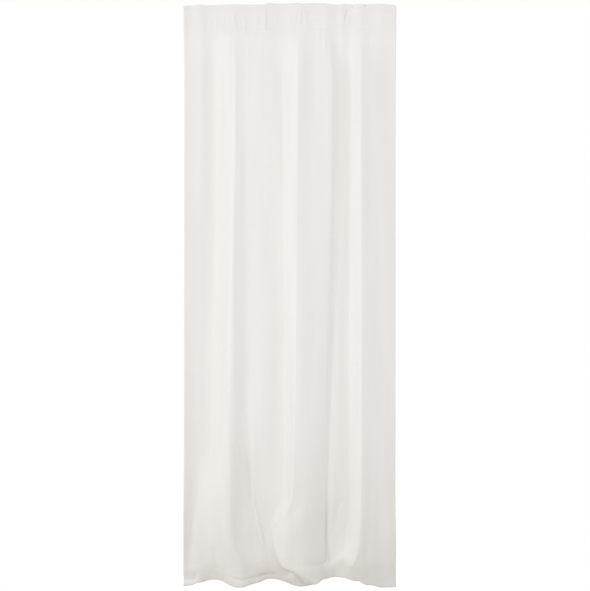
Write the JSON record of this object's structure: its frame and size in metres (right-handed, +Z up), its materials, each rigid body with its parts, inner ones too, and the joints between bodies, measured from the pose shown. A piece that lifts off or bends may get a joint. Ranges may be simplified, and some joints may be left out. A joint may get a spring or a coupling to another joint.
{
  "type": "velvet curtain",
  "caption": "Long white velvet curtain panel hanging in soft uneven folds from a gathered tape heading, with a deep bottom hem.",
  "frame": {"origin": "middle of the top edge in the plane that the heading hangs in", "axes": "+Z up along the drop, +X to the viewer's right along the top edge, -Y towards the viewer who looks at the face of the cloth"},
  "size_m": [0.9215, 0.108, 2.5342],
  "materials": {
    "velvet": "soft matt short pile with a faint sheen, warm white",
    "tape": "plain woven polyester tape, matt, off-white"
  },
  "bodies": {
    "root": {"velvet_panel": "velvet", "heading_tape": "tape"}
  },
  "joints": []
}
